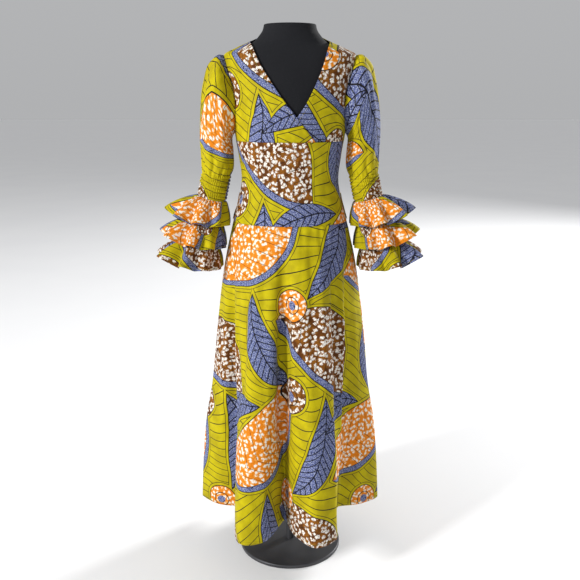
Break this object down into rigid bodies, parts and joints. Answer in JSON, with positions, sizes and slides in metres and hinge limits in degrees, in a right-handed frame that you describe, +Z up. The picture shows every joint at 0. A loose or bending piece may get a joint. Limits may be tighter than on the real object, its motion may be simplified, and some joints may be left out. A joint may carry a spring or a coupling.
{
  "type": "wax print wrap-front dress on a dress form",
  "caption": "Long flared cotton dress with crossed V neck, smocked sleeves ending in gathered ruffle tiers, and a back bow, worn by a limbless dress form on a round-base stand.",
  "frame": {"origin": "on the floor, at the centre of the round stand base's underside", "axes": "+Z up through the pole and the dress form, -Y towards the front of the dress, +X towards the dress's own left sleeve"},
  "size_m": [0.7446, 0.5579, 1.497],
  "materials": {
    "wax_print_cotton": "crisp printed cotton, chartreuse ground with orange, brown and blue",
    "black_jersey": "matte black jersey stretched over the form",
    "dark_steel": "satin"
  },
  "bodies": {
    "root": {"front_upper_over": "wax_print_cotton", "front_upper_under": "wax_print_cotton", "midriff_front": "wax_print_cotton", "back_bodice": "wax_print_cotton", "skirt_front": "wax_print_cotton", "skirt_back_left": "wax_print_cotton", "skirt_back_right": "wax_print_cotton", "sleeve_left": "wax_print_cotton", "sleeve_right": "wax_print_cotton", "ruffle_left_1": "wax_print_cotton", "ruffle_left_2": "wax_print_cotton", "ruffle_left_3": "wax_print_cotton", "ruffle_right_1": "wax_print_cotton", "ruffle_right_2": "wax_print_cotton", "ruffle_right_3": "wax_print_cotton", "belt_left": "wax_print_cotton", "belt_right": "wax_print_cotton", "belt_knot": "wax_print_cotton", "bow_loop_left": "wax_print_cotton", "bow_loop_right": "wax_print_cotton", "belt_tail_left": "wax_print_cotton", "belt_tail_right": "wax_print_cotton", "dress_form_torso": "black_jersey", "stand_pole": "dark_steel", "stand_base": "dark_steel"}
  },
  "joints": []
}
